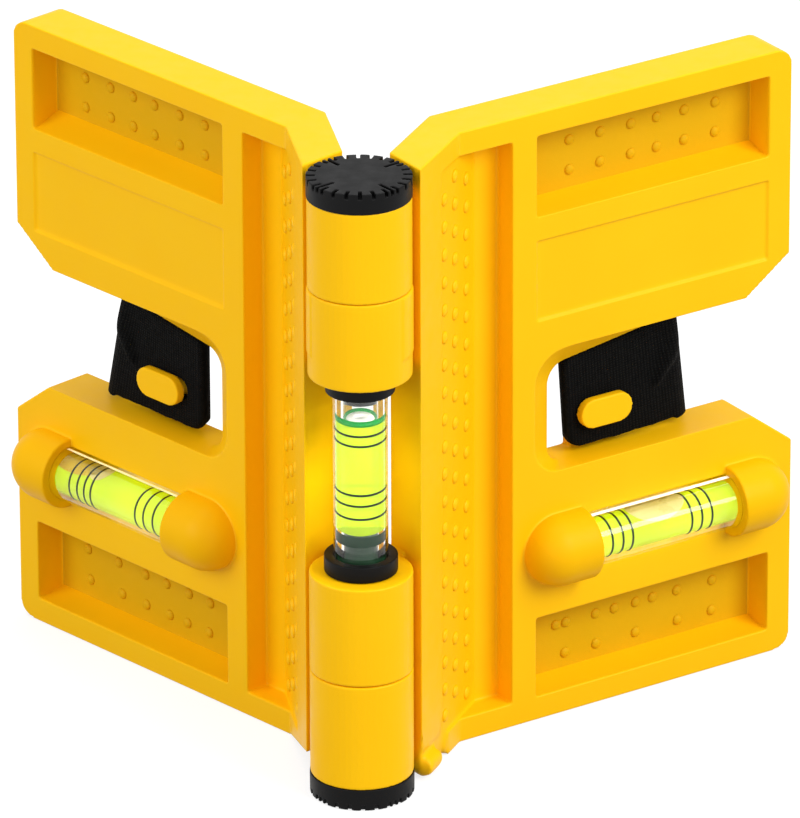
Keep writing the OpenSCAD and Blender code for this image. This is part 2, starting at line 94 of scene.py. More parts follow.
# Softened copies: voxel size, rounds of smoothing and share of the faces that is kept
WING_COPY = (0.26, 3, 0.13)
DOME_COPY = (0.2, 4, 0.2)
CAP_COPY = (0.14, 3, 0.2)


def wing_point(side, reach, back, z):
    """A point of a wing's own frame, in the row frame, in metres."""
    x = reach * math.cos(YAW) - back * math.sin(YAW)
    y = reach * math.sin(YAW) + back * math.cos(YAW)
    return Vector((side * x, y, z)) * MM


def wing_direction(side, reach, back):
    """A level direction of a wing's own frame, in the row frame."""
    return wing_point(side, reach, back, 0).normalized()


def smooth_step(value):
    value = max(0.0, min(1.0, value))
    return value * value * (3 - 2 * value)


# Materials

# Noise scales, in waves per metre
CLOUD_SCALE = 45.0
UNEVEN_SCALE = 320.0
GRAIN_SCALE = 2600.0
SMUDGE_SCALE = 220.0
WAVY_SCALE = 90.0
LIQUID_SCALE = 120.0
FILM_SCALE = 160.0
POLISH_SCALE = 300.0
FIBRE_SCALE = 900.0

# Roughness: how far it strays from a material's own, or its lowest and highest value
PLASTIC_STRAY = (-0.05, 0.07)
SMUDGE_STRAY = 0.03
LIQUID_ROUGH = (0.04, 0.1)
FILM_ROUGH = (0.2, 0.4)
WEBBING_ROUGH = (0.75, 0.95)

# Depths of bumps, pitches of the weave and period of a wave texture of scale 1, in metres
GRAIN_DEPTH = 0.00006
WAVY_DEPTH = 0.0001
WEAVE_DEPTH = 0.00022
RIB_PITCH = 0.0007
YARN_PITCH = 0.00055
WAVE_PERIOD = 0.314

GRAIN_DETAIL = 2.0
WAVY_STRENGTH = 0.02
WEAVE_STRENGTH = 0.8
# Weave colours of the black yarn: painted shade in the hollows and a painted highlight on the tops.
YARN_HOLLOW_SHADE, YARN_TOP_HIGHLIGHT = (0.001, 0.001, 0.001), (0.006, 0.006, 0.0055)


def new_material(name):
    material = bpy.data.materials.new(name)
    material.use_nodes = True
    tree = material.node_tree
    return material, tree, tree.nodes["Principled BSDF"]


def add_noise(tree, scale, detail=3.0):
    place = tree.nodes.new("ShaderNodeTexCoord")
    noise = tree.nodes.new("ShaderNodeTexNoise")
    noise.inputs["Scale"].default_value = scale
    noise.inputs["Detail"].default_value = detail
    tree.links.new(place.outputs["Object"], noise.inputs["Vector"])
    return noise.outputs["Fac"]


def add_range(tree, value, low, high, start=0.3, end=0.7):
    """Maps a value to the range from low to high. Noise is taken to run from 0.3 to 0.7."""
    scaled = tree.nodes.new("ShaderNodeMapRange")
    scaled.inputs["From Min"].default_value = start
    scaled.inputs["From Max"].default_value = end
    scaled.inputs["To Min"].default_value = low
    scaled.inputs["To Max"].default_value = high
    tree.links.new(value, scaled.inputs["Value"])
    return scaled.outputs["Result"]


def add_blend(tree, value, first, second):
    mix = tree.nodes.new("ShaderNodeMix")
    mix.data_type = "RGBA"
    mix.inputs["A"].default_value = (*first, 1)
    mix.inputs["B"].default_value = (*second, 1)
    tree.links.new(value, mix.inputs["Factor"])
    return mix.outputs["Result"]


def add_bump(tree, shader, height, strength, distance):
    bump = tree.nodes.new("ShaderNodeBump")
    bump.inputs["Strength"].default_value = strength
    bump.inputs["Distance"].default_value = distance
    tree.links.new(height, bump.inputs["Height"])
    tree.links.new(bump.outputs["Normal"], shader.inputs["Normal"])


def moulded_plastic(name, first, second, rough, grain, gloss, grain_scale=GRAIN_SCALE):
    """Plastic with slightly uneven colour and roughness and a fine moulded grain."""
    material, tree, shader = new_material(name)
    cloud = add_range(tree, add_noise(tree, CLOUD_SCALE), 0.0, 1.0)
    tree.links.new(add_blend(tree, cloud, first, second), shader.inputs["Base Color"])
    lowest, highest = (rough + stray for stray in PLASTIC_STRAY)
    uneven = add_range(tree, add_noise(tree, UNEVEN_SCALE), lowest, highest)
    tree.links.new(uneven, shader.inputs["Roughness"])
    add_bump(tree, shader, add_noise(tree, grain_scale, GRAIN_DETAIL), grain, GRAIN_DEPTH)
    shader.inputs["IOR"].default_value = 1.5
    shader.inputs["Specular IOR Level"].default_value = gloss
    return material


def clear_plastic(name, colour, rough, ior, coat):
    """Polished clear plastic with faint smudges."""
    material, tree, shader = new_material(name)
    smudge = add_range(tree, add_noise(tree, SMUDGE_SCALE), rough, rough + SMUDGE_STRAY)
    tree.links.new(smudge, shader.inputs["Roughness"])
    add_bump(tree, shader, add_noise(tree, WAVY_SCALE), WAVY_STRENGTH, WAVY_DEPTH)
    shader.inputs["Base Color"].default_value = (*colour, 1)
    shader.inputs["Transmission Weight"].default_value = 1.0
    shader.inputs["IOR"].default_value = ior
    shader.inputs["Coat Weight"].default_value = coat
    shader.inputs["Coat Roughness"].default_value = 0.04
    return material


def add_height(tree, low, high):
    """0 to 1 between two heights of the piece."""
    place = tree.nodes.new("ShaderNodeTexCoord")
    split = tree.nodes.new("ShaderNodeSeparateXYZ")
    tree.links.new(place.outputs["Object"], split.inputs["Vector"])
    return add_range(tree, split.outputs["Z"], 0.0, 1.0, low * MM, high * MM)


def liquid_with_painted_glow(name, first, second, glow, heights=None):
    """Dyed vial liquid with a painted glow: it shines a little of its own, which stands in for the
    light that reaches it through its tube, as well as for such dyes' shine in daylight.

    Its colour runs from the first to the second between two heights, or from place to place.
    """
    material, tree, shader = new_material(name)
    if heights:
        run = add_height(tree, *heights)
    else:
        run = add_range(tree, add_noise(tree, LIQUID_SCALE), 0.0, 1.0)
    tint = add_blend(tree, run, first, second)
    tree.links.new(tint, shader.inputs["Base Color"])
    tree.links.new(tint, shader.inputs["Emission Color"])
    polish = add_range(tree, add_noise(tree, POLISH_SCALE), *LIQUID_ROUGH)
    tree.links.new(polish, shader.inputs["Roughness"])
    shader.inputs["Emission Strength"].default_value = glow
    shader.inputs["Transmission Weight"].default_value = 0.6
    shader.inputs["IOR"].default_value = 1.36
    return material


def painted_light_layer(name, first, second, glow):
    """A pale layer that glows though it is no lamp, painted light: the painted highlight along a tube,
    the painted look of a bubble's air and its glint, and the painted highlight on the top of a liquid.
    """
    material, tree, shader = new_material(name)
    cloud = add_range(tree, add_noise(tree, FILM_SCALE), 0.0, 1.0)
    tint = add_blend(tree, cloud, first, second)
    tree.links.new(tint, shader.inputs["Base Color"])
    tree.links.new(tint, shader.inputs["Emission Color"])
    polish = add_range(tree, add_noise(tree, POLISH_SCALE), *FILM_ROUGH)
    tree.links.new(polish, shader.inputs["Roughness"])
    shader.inputs["Emission Strength"].default_value = glow
    return material


def webbing(name):
    """Black elastic with ribs across the strap and finer yarns along it, by the UV map in metres."""
    material, tree, shader = new_material(name)
    place = tree.nodes.new("ShaderNodeTexCoord")
    heights = []
    for direction, pitch in (("X", RIB_PITCH), ("Y", YARN_PITCH)):
        wave = tree.nodes.new("ShaderNodeTexWave")
        wave.wave_type = "BANDS"
        wave.bands_direction = direction
        wave.inputs["Scale"].default_value = WAVE_PERIOD / pitch
        wave.inputs["Distortion"].default_value = 1.2
        wave.inputs["Detail Scale"].default_value = 2.0
        tree.links.new(place.outputs["UV"], wave.inputs["Vector"])
        heights.append(wave.outputs["Fac"])
    weave = tree.nodes.new("ShaderNodeMath")
    weave.operation = "MULTIPLY"
    tree.links.new(heights[0], weave.inputs[0])
    tree.links.new(heights[1], weave.inputs[1])
    # The yarns' colour follows the weave's height: painted shade in its hollows, painted highlight on
    # its tops.
    yarn_light_and_shade = add_blend(tree, weave.outputs["Value"], YARN_HOLLOW_SHADE, YARN_TOP_HIGHLIGHT)
    tree.links.new(yarn_light_and_shade, shader.inputs["Base Color"])
    fibres = add_range(tree, add_noise(tree, FIBRE_SCALE), *WEBBING_ROUGH)
    tree.links.new(fibres, shader.inputs["Roughness"])
    add_bump(tree, shader, weave.outputs["Value"], WEAVE_STRENGTH, WEAVE_DEPTH)
    shader.inputs["Specular IOR Level"].default_value = 0.06
    shader.inputs["Sheen Weight"].default_value = 0.01
    shader.inputs["Sheen Roughness"].default_value = 0.5
    return material


YELLOW = moulded_plastic(
    "yellow_plastic", (1.0, 0.54, 0.002), (1.0, 0.56, 0.003), 0.38, 0.06, gloss=0.12
)
DOME_YELLOW = moulded_plastic(
    "dome_plastic", (0.93, 0.49, 0.001), (0.96, 0.51, 0.002), 0.42, 0.06, gloss=0.08
)
# Window floors and their dots: a real fine grain, and a darker yellow that is painted shade of the deep
# recess.
GRAINED_SHADED_YELLOW = moulded_plastic(
    "grained_shaded_yellow_plastic",
    (0.70, 0.40, 0.002),
    (0.74, 0.42, 0.004),
    0.55,
    0.5,
    gloss=0.1,
    grain_scale=1900.0,
)
BLACK = moulded_plastic(
    "black_plastic", (0.002, 0.002, 0.0021), (0.004, 0.004, 0.0042), 0.45, 0.12, gloss=0.11
)
PLUG = moulded_plastic(
    "plug_rubber", (0.001, 0.012, 0.004), (0.006, 0.03, 0.012), 0.3, 0.08, gloss=0.2
)
INK = moulded_plastic(
    "mark_ink", (0.004, 0.012, 0.004), (0.008, 0.02, 0.007), 0.6, 0.05, gloss=0.05
)
# The tubes bend light less than real acrylic, so that the liquid shows as narrow as in the photograph
CLEAR = clear_plastic("clear_acrylic", (0.97, 1.0, 0.98), 0.01, 1.16, 0.8)
POST_CLEAR = clear_plastic("post_clear_acrylic", (0.98, 1.0, 0.96), 0.01, 1.38, 0.2)
LIME = liquid_with_painted_glow("vial_liquid", (0.57, 0.78, 0.01), (0.61, 0.81, 0.016), 0.24)
# The wing vials' liquid darkens to olive towards its top: painted shade, the shaded yellow seat seen
# through the top of the tube.
WING_LIME = liquid_with_painted_glow(
    "wing_vial_liquid", (0.61, 0.78, 0.012), (0.45, 0.40, 0.003), 0.21, heights=(39.5, 45.0)
)
GREEN = liquid_with_painted_glow("meniscus_liquid", (0.0, 0.30, 0.06), (0.0, 0.38, 0.09), 0.2)
# Painted highlights that glow: the line along a wing vial's tube and the top of the upright vial's
# liquid.
WHITE_PAINTED_HIGHLIGHT = painted_light_layer("white_painted_highlight", (0.95, 0.93, 0.84), (0.98, 0.96, 0.9), 0.2)
CREAM_PAINTED_HIGHLIGHT = painted_light_layer("cream_painted_highlight", (0.95, 0.80, 0.42), (0.98, 0.86, 0.52), 0.15)
# Bubbles in painted light: a glowing cream where lit and for the glint, a darker glowing olive for
# painted shade.
LIT_BUBBLE_PAINT = painted_light_layer("painted_lit_bubble", (0.47, 0.39, 0.10), (0.54, 0.46, 0.16), 0.08)
SHADED_AIR = painted_light_layer("shaded_bubble_air", (0.42, 0.27, 0.003), (0.5, 0.36, 0.012), 0.06)
ELASTIC = webbing("elastic_webbing")


# Building


def add_object(name, mesh, materials, body, smooth=True):
    """A piece from a mesh, which moves with a body of the frame."""
    mesh.materials.clear()
    for material in materials:
        mesh.materials.append(material)
    for face in mesh.polygons:
        face.use_smooth = smooth
    piece = bpy.data.objects.new(name, mesh)
    bpy.context.collection.objects.link(piece)
    if body:
        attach(piece, body)
    return piece


def finished_mesh(name, bm):
    bmesh.ops.recalc_face_normals(bm, faces=bm.faces)
    mesh = bpy.data.meshes.new(name)
    bm.to_mesh(mesh)
    bm.free()
    return mesh


def add_piece(name, bm, material, body, smooth=True):
    return add_object(name, finished_mesh(name, bm), [material], body, smooth)


def add_helper(name, mesh):
    helper = bpy.data.objects.new(name, mesh)
    bpy.context.collection.objects.link(helper)
    return helper


def evaluated_mesh(draft):
    """The mesh of a helper object with its modifiers applied. The helper goes."""
    mesh = bpy.data.meshes.new_from_object(draft.evaluated_get(bpy.context.evaluated_depsgraph_get()))
    bpy.data.objects.remove(draft)
    return mesh


def middle(node):
    low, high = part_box(node)
    return (low + high) / 2


def half_height(node):
    low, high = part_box(node)
    return (high.z - low.z) / 2


def half_width(node):
    low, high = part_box(node)
    return (high.x - low.x) / 2


def add_turned(bm, centre, axis, profile, around=64, solid=False):
    """A closed ring from a profile of (place along the axis, radius), or a solid with flat ends."""
    across = axis.orthogonal().normalized()
    along = axis.cross(across)
    loops = []
    for offset, radius in profile:
        loop = []
        for i in range(around):
            turn = 2 * math.pi * i / around
            spoke = across * math.cos(turn) + along * math.sin(turn)
            loop.append(bm.verts.new(centre + axis * offset + spoke * radius))
        loops.append(loop)
    if solid:
        bm.faces.new(loops[0])
        bm.faces.new(loops[-1])
    else:
        loops.append(loops[0])
    for first, second in zip(loops, loops[1:]):
        for i in range(around):
            j = (i + 1) % around
            bm.faces.new((first[i], first[j], second[j], second[i]))


def paint(node, material):
    """Gives a CAD node that stays in view its material."""
    nodes[node].data.materials.clear()
    nodes[node].data.materials.append(material)


def cut_away(mesh, cutter_mesh, operation="DIFFERENCE"):
    """What is left of a closed mesh where another one is cut out of it, or what both share."""
    cutter = add_helper("cutter", cutter_mesh)
    draft = add_helper("draft", mesh)
    cut = draft.modifiers.new("cut", "BOOLEAN")
    cut.operation = operation
    cut.solver = "EXACT"
    cut.object = cutter
    left = evaluated_mesh(draft)
    bpy.data.objects.remove(cutter)
    return left


def softened(sources, turn, voxel, rounds, share):
    """One closed mesh of CAD nodes with a moulding's soft edges, in a frame turned about the hinge."""
    bm = bmesh.new()
    for node in sources:
        bm.from_mesh(nodes[node].data)
    bm.transform(Matrix.Rotation(-turn, 4, "Z"))
    mesh = bpy.data.meshes.new("draft")
    bm.to_mesh(mesh)
    bm.free()
    draft = add_helper("draft", mesh)
    remesh = draft.modifiers.new("remesh", "REMESH")
    remesh.mode = "VOXEL"
    remesh.voxel_size = voxel * MM
    soften = draft.modifiers.new("soften", "SMOOTH")
    soften.factor = 0.5
    soften.iterations = rounds
    thin = draft.modifiers.new("thin", "DECIMATE")
    thin.ratio = share
    return evaluated_mesh(draft)


def even_normals(piece):
    even = piece.modifiers.new("even", "WEIGHTED_NORMAL")
    even.keep_sharp = False
    even.weight = 55


def add_moulding(node, name, material, body, copy, proud=0.0):
    """A softened copy of one CAD node, which stands for it, grown by a little where it stands proud."""
    mesh = softened([node], 0.0, *copy)
    normals = [vert.normal.copy() for vert in mesh.vertices]
    for vert, normal in zip(mesh.vertices, normals):
        vert.co += normal * proud * MM
    piece = add_object(name, mesh, [material], body)
    even_normals(piece)
    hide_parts(node)


def grain_and_shade_windows(mesh, side):
    """Gives the window floors of a wing, still in its own frame, the second material: a grained yellow,
    darker as painted shade of the recess.
    """
    for face in mesh.polygons:
        reach, back, z = side * face.center.x / MM, face.center.y / MM, face.center.z / MM
        in_window = any(low < z < high for low, high in WINDOW_HEIGHTS)
        in_window = in_window and WINDOW_REACH[0] < reach < WINDOW_REACH[1]
        if in_window and face.normal.y < WINDOW_FACING:
            face.material_index = int(abs(back - WINDOW_FLOOR) < WINDOW_TOLERANCE)


def round_foot(mesh):
    """Rounds the foot under the right wing's hinge edge, still in its own frame, into a soft lump."""
    bm = bmesh.new()
    bm.from_mesh(mesh)
    foot = []
    for vert in bm.verts:
        reach, back, z = vert.co / MM
        if FOOT_REACH[0] < reach < FOOT_REACH[1] and back < FOOT_BACK and z < FOOT_HEIGHT:
            foot.append(vert)
    for _ in range(FOOT_ROUNDS):
        bmesh.ops.smooth_vert(
            bm, verts=foot, factor=0.5, use_axis_x=True, use_axis_y=True, use_axis_z=True
        )
    bm.to_mesh(mesh)
    bm.free()


def dress_wing(side):
    """One soft moulding for a wing with its vial's caps, and the domes of the caps over it."""
    name, body = SIDE_NAME[side], BODY[side]
    turn = side * YAW
    caps = [f"{name}_vial_{end}_cap" for end in ("inner", "outer")]
    mesh = softened([f"{name}_wing", *caps], turn, *WING_COPY)
    if side == RIGHT:
        round_foot(mesh)
    wing = add_object(f"{name}_wing_moulding", mesh, [YELLOW, GRAINED_SHADED_YELLOW], body)
    grain_and_shade_windows(mesh, side)
    mesh.transform(Matrix.Rotation(turn, 4, "Z"))
    even_normals(wing)
    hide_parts(f"{name}_wing")
    for cap in caps:
        dome = cap.replace("cap", "dome")
        add_moulding(cap, dome, DOME_YELLOW, body, DOME_COPY, DOME_PROUD)


def add_window_sills(side):
    """The sills of a wing's windows, which slope up to the window floors."""
    bm = bmesh.new()
    for (low, _), rise in zip(WINDOW_HEIGHTS, SILL_RISE[side]):
        profile = [(FRONT + SILL_BITE, low - SILL_BITE)]
        for i in range(SILL_STEPS + 1):
            share = i / SILL_STEPS
            back = FRONT + SILL_BITE + (WINDOW_FLOOR - FRONT) * share
            profile.append((back, low + rise * share**SILL_CURVE))
        profile.append((WINDOW_FLOOR + SILL_BITE, low - SILL_BITE))
        ends = []
        for reach in (WINDOW_REACH[0] - SILL_BITE, WINDOW_REACH[1] + SILL_BITE):
            ends.append([bm.verts.new(wing_point(side, reach, back, z)) for back, z in profile])
        for end in ends:
            bm.faces.new(end)
        for i in range(len(profile)):
            j = (i + 1) % len(profile)
            bm.faces.new((ends[0][i], ends[0][j], ends[1][j], ends[1][i]))
    sills = add_piece(f"{SIDE_NAME[side]}_window_sills", bm, YELLOW, BODY[side])
    sills.data.set_sharp_from_angle(angle=SHARP_EDGE)


def add_cap_shade_ring():
    """A black ring inside the bottom cap, which closes its notches towards the floor: a dark piece that
    stands in for the shade under the cap.
    """
    bm = bmesh.new()
    outer = half_width("bottom_cap") - SHADE_RING_INSET * MM
    edge, bore = SHADE_RING_EDGE * MM, SHADE_RING_BORE * MM
    low, high = (height * MM for height in SHADE_RING_HEIGHTS)
    profile = ((low, outer - edge), (low + edge, outer), (high, outer), (high, bore), (low, bore))
    add_turned(bm, Vector(), UP, profile)
    add_piece("bottom_cap_base", bm, BLACK, "left_wing")


def dress_column():
    for node in ("top_cap", "bottom_cap", "upper_collar", "lower_collar"):
        add_moulding(node, f"{node}_moulding", BLACK, "left_wing", CAP_COPY)
    paint("post_vial_upper_plug", CLEAR)
    paint("upper_hinge_pin", BLACK)
    paint("lower_hinge_pin", BLACK)
    add_cap_shade_ring()


# Grip dots

DOT_R, DOT_H = 1.1, 0.6
STRIP_DOT_R, STRIP_DOT_H = 1.35, 0.6
DOT_RINGS, DOT_AROUND = 4, 16
DOT_SUNK = 0.05
UPPER_DOTS = [(reach, z) for z in (111.4, 117.6) for reach in (57.0, 64.2, 71.4, 77.5, 84.0, 91.3)]
LOWER_DOTS = {
    LEFT: [(reach, 9.6) for reach in (57.4, 63.7, 68.9, 75.7, 82.8, 92.2)]
    + [(reach, 16.1) for reach in (57.0, 63.2, 69.7, 75.9, 83.8, 92.8)],
    RIGHT: [(reach, 9.0) for reach in (56.4, 63.8, 73.3, 83.4, 91.6)]
    + [(reach, 15.5) for reach in (54.2, 56.6, 63.7, 68.2, 73.3, 77.3, 83.2, 91.7)],
}
STRIP_COLUMNS = ((2.1, 8.4), (7.4, 11.25), (13.2, 8.4))
STRIP_PITCH = 5.7
STRIP_TOP = 120.0


def add_dot(bm, centre, normal, radius, height):
    """A low round dot on a surface."""
    across = normal.orthogonal().normalized()
    along = normal.cross(across)
    top = bm.verts.new(centre + normal * height)
    last = None
    for ring in range(1, DOT_RINGS + 1):
        angle = math.pi / 2 * ring / DOT_RINGS
        r, h = radius * math.sin(angle), height * math.cos(angle)
        sunk = DOT_SUNK * MM if ring == DOT_RINGS else 0.0
        now = []
        for i in range(DOT_AROUND):
            turn = 2 * math.pi * i / DOT_AROUND
            spoke = across * math.cos(turn) + along * math.sin(turn)
            now.append(bm.verts.new(centre + normal * (h - sunk) + spoke * r))
        for i in range(DOT_AROUND):
            j = (i + 1) % DOT_AROUND
            if last is None:
                bm.faces.new((top, now[i], now[j]))
            else:
                bm.faces.new((last[i], now[i], now[j], last[j]))
        last = now
    bm.faces.new(list(reversed(last)))


def add_grip_dots(side):
    bm = bmesh.new()
    facing = wing_direction(side, 0, -1)
    for reach, z in UPPER_DOTS + LOWER_DOTS[side]:
        add_dot(bm, wing_point(side, reach, WINDOW_FLOOR, z), facing, DOT_R * MM, DOT_H * MM)
    name = SIDE_NAME[side]
    add_piece(f"{name}_window_dots", bm, GRAINED_SHADED_YELLOW, BODY[side])
    bm = bmesh.new()
    facing = wing_direction(side, math.sin(BEND), -math.cos(BEND))
    start = FRONT - (BEND_REACH - STRIP_IN) * math.tan(BEND) + STRIP_DEPTH / math.cos(BEND)
    for along, low in STRIP_COLUMNS:
        reach = STRIP_IN + along * math.cos(BEND)
        back = start + along * math.sin(BEND)
        for step in range(int((STRIP_TOP - low) / STRIP_PITCH) + 1):
            place = wing_point(side, reach, back, low + step * STRIP_PITCH)
            add_dot(bm, place, facing, STRIP_DOT_R * MM, STRIP_DOT_H * MM)
    add_piece(f"{name}_strip_dots", bm, YELLOW, BODY[side])


# Vials

RING_W = 0.44
RING_LAYER = (0.06, 0.14)
ROUND_TUBE, ROUND_ROD = 128, 96
ROD_CHAMFER = 0.25
STOPPER_GROOVE = 0.35
GROOVE_SHARES = (0.1, 0.2)
WALL_BITE = 0.05
WALL_CLEARANCE = 0.05
# The bubbles' air is painted light: glowing cream for the lit bubble, glowing olive as painted shade
# for the left one, and a painted glint at its inner end.
BUBBLES = {
    LEFT: (("bubble", 86.6, 7.6, 3.0, SHADED_AIR), ("glint", 79.9, 2.6, 2.6, LIT_BUBBLE_PAINT)),
    RIGHT: (("bubble", 72.4, 6.6, 3.6, LIT_BUBBLE_PAINT),),
}
# The painted highlight along the top of each wing vial's tube, which stands for a lamp's reflection.
HIGHLIGHT_FROM = {LEFT: math.radians(84), RIGHT: math.radians(81)}
HIGHLIGHT_TO = math.radians(90)
HIGHLIGHT_PAINT = {LEFT: CREAM_PAINTED_HIGHLIGHT, RIGHT: WHITE_PAINTED_HIGHLIGHT}
HIGHLIGHT_LAYER = (0.12, 0.03)
HIGHLIGHT_STEPS = 48
HIGHLIGHT_SHORTER = 6.0
SEAL_DEPTH = 0.6
VIAL_RINGS = {
    LEFT: (61.5, 64.2, 66.6, 79.6, 81.5, 83.5, 85.8),
    RIGHT: (60.2, 62.7, 65.0, 79.1, 81.5, 83.9),
}
POST_RINGS = (58.55, 61.27, 63.52, 73.7, 75.78)

# Turned forms on the upright vial's liquid: height over its top, and share of its radius
MENISCUS_PROFILE = ((0.15, 0.82), (0.2, 0.9), (0.5, 1.0), (-0.7, 1.0), (-0.7, 0.82))
MENISCUS_GROWTH = 0.02
# The top of the liquid carries a glowing white layer: a painted highlight for its surface's reflection.
SURFACE_HIGHLIGHT_PROFILE = ((0.1, 0.05), (0.1, 0.8), (-0.2, 0.83), (-0.2, 0.05))


def rod_length(node, radius):
    """Length of a round rod that lies along a wing, from its box."""
    low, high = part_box(node)
    return (high.x - low.x - 2 * radius * math.sin(YAW)) / math.cos(YAW)


def add_ring(bm, centre, axis, bore):
    """A thin ring printed on the wall of a tube's bore."""
    half = RING_W / 2 * MM
    inner, outer = (bore + layer * MM for layer in RING_LAYER)
    add_turned(bm, centre, axis, ((-half, inner), (-half, outer), (half, outer), (half, inner)))


def add_tube(node, name, material, body, centre, axis, bore, radius, length):
    """A round polished copy of a vial's tube, which stands for it and lets the lamps shine through."""
    bm = bmesh.new()
    half = length / 2
    profile = ((-half, bore), (-half, radius), (half, radius), (half, bore))
    add_turned(bm, centre, axis, profile, ROUND_TUBE)
    tube = add_piece(name, bm, material, body)
    tube.data.set_sharp_from_angle(angle=SHARP_EDGE)
    tube.visible_shadow = False
    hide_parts(node)


def rod_mesh(name, centre, axis, radius, length, groove=0.0):
    """A round rod with chamfered ends and, if it is asked for, a groove around its middle."""
    bm = bmesh.new()
    half, chamfer = length / 2, ROD_CHAMFER * MM
    profile = [(-half, radius - chamfer), (chamfer - half, radius)]
    if groove:
        deep, edge = GROOVE_SHARES
        for share, depth in ((-edge, 0.0), (-deep, groove), (deep, groove), (edge, 0.0)):
            profile.append((share * length, radius - depth))
    profile += [(half - chamfer, radius), (half, radius - chamfer)]
    add_turned(bm, centre, axis, profile, ROUND_ROD, solid=True)
    return finished_mesh(name, bm)


def bubble_mesh(centre, axis, half_length, depth):
    """A long bubble, round in every section, as a cutter."""
    bm = bmesh.new()
    turned = axis.to_track_quat("Z", "Y").to_matrix().to_4x4()
    size = Matrix.Diagonal((depth, depth, half_length, 1))
    place = Matrix.Translation(centre) @ turned @ size
    bmesh.ops.create_uvsphere(bm, u_segments=48, v_segments=32, radius=1.0, matrix=place)
    return finished_mesh("bubble", bm)


def add_spirit(node, name, body, mesh, material):
    """A vial's liquid, which reaches into its tube's wall, so that no air shows between them."""
    spirit = add_object(name, mesh, [material], body)
    spirit.data.set_sharp_from_angle(angle=SHARP_EDGE)
    spirit.visible_shadow = False
    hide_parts(node)


def add_painted_highlight(name, body, side, centre, axis, radius, length):
    """A painted highlight: the thin pale line along the top of a wing vial's tube, which stands for a
    lamp's reflection.
    """
    bm = bmesh.new()
    front = wing_direction(side, 0, -1)
    rows = []
    for i in range(HIGHLIGHT_STEPS + 1):
        turn = HIGHLIGHT_FROM[side] + (HIGHLIGHT_TO - HIGHLIGHT_FROM[side]) * i / HIGHLIGHT_STEPS
        spoke = front * math.cos(turn) + UP * math.sin(turn)
        row = []
        for end in (-length / 2, length / 2):
            for under in HIGHLIGHT_LAYER:
                row.append(bm.verts.new(centre + axis * end + spoke * (radius - under * MM)))
        rows.append(row)
    for first, second in zip(rows, rows[1:]):
        for a, b in ((0, 1), (1, 3), (3, 2), (2, 0)):
            bm.faces.new((first[a], first[b], second[b], second[a]))
    for row in (rows[0], rows[-1]):
        bm.faces.new((row[0], row[1], row[3], row[2]))
    highlight_line = add_piece(name, bm, HIGHLIGHT_PAINT[side], body)
    highlight_line.data.set_sharp_from_angle(angle=SHARP_EDGE)


def add_seals(side, start, axis, bore, radius):
    """The rings that close the tube's wall where it enters its two caps."""
    name = SIDE_NAME[side]
    bm = bmesh.new()
    inner, outer = bore + 2 * WALL_BITE * MM, radius - WALL_BITE * MM
    for cap, edge, inward in (("inner", max, -1), ("outer", min, 1)):
        points = nodes[f"{name}_vial_{cap}_cap"].data.vertices
        face = edge(point.co.dot(axis) for point in points)
        deep = inward * SEAL_DEPTH * MM
        profile = ((0, inner), (0, outer), (deep, outer), (deep, inner))
        add_turned(bm, start + axis * face, axis, profile, ROUND_TUBE)
    add_piece(f"{name}_vial_seals", bm, DOME_YELLOW, BODY[side], smooth=False)


def add_bubbles(side, liquid, start, axis, bore, room):
    """The bubbles of a wing vial and the left bubble's glint, each as a piece in painted light. Gives
    back the liquid without them.
    """
    name = SIDE_NAME[side]
    for label, reach, half_length, depth, material in BUBBLES[side]:
        top = start + axis * reach * MM + UP * bore
        bubble = bubble_mesh(top, axis, half_length * MM, depth * MM)
        air = cut_away(room.copy(), bubble.copy(), "INTERSECT")
        piece = add_object(f"{name}_vial_{label}", air, [material], BODY[side])
        piece.data.set_sharp_from_angle(angle=SHARP_EDGE)
        liquid = cut_away(liquid, bubble)
    return liquid


def dress_wing_vial(side):
    name, body = SIDE_NAME[side], BODY[side]
    axis = wing_direction(side, 1, 0)
    centre = middle(f"{name}_vial_tube")
    radius = half_height(f"{name}_vial_tube")
    bore = half_height(f"{name}_vial_liquid") + WALL_CLEARANCE * MM
    length = rod_length(f"{name}_vial_tube", radius)
    glass = f"{name}_vial_glass"
    add_tube(f"{name}_vial_tube", glass, CLEAR, body, centre, axis, bore, radius, length)
    start = centre - axis * centre.dot(axis)
    bm = bmesh.new()
    for reach in VIAL_RINGS[side]:
        add_ring(bm, start + axis * reach * MM, axis, bore)
    add_piece(f"{name}_vial_rings", bm, INK, body, smooth=False)
    wet = bore + WALL_BITE * MM
    filled = rod_length(f"{name}_vial_liquid", half_height(f"{name}_vial_liquid"))
    liquid = rod_mesh(f"{name}_vial_spirit", centre, axis, wet, filled)
    room = rod_mesh("room", centre, axis, wet + WALL_BITE * MM, filled)
    liquid = add_bubbles(side, liquid, start, axis, bore, room)
    add_spirit(f"{name}_vial_liquid", f"{name}_vial_spirit", body, liquid, WING_LIME)
    add_painted_highlight(f"{name}_vial_painted_highlight", body, side, centre, axis, radius, length - HIGHLIGHT_SHORTER * MM)
    add_seals(side, start, axis, bore, radius)
    paint(f"{name}_vial_plugs", CLEAR)


def upright_rod(name, node, radius, groove=0.0):
    """A rod as tall as a CAD node, in its place."""
    return rod_mesh(name, middle(node), UP, radius, 2 * half_height(node), groove)


def crown_liquid(name, shares, radius, material):
    """A turned form on top of the upright vial's liquid."""
    bm = bmesh.new()
    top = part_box("post_vial_liquid")[1].z
    profile = [(height * MM, share * radius) for height, share in shares]
    add_turned(bm, UP * top, UP, profile)
    add_piece(name, bm, material, "left_wing")


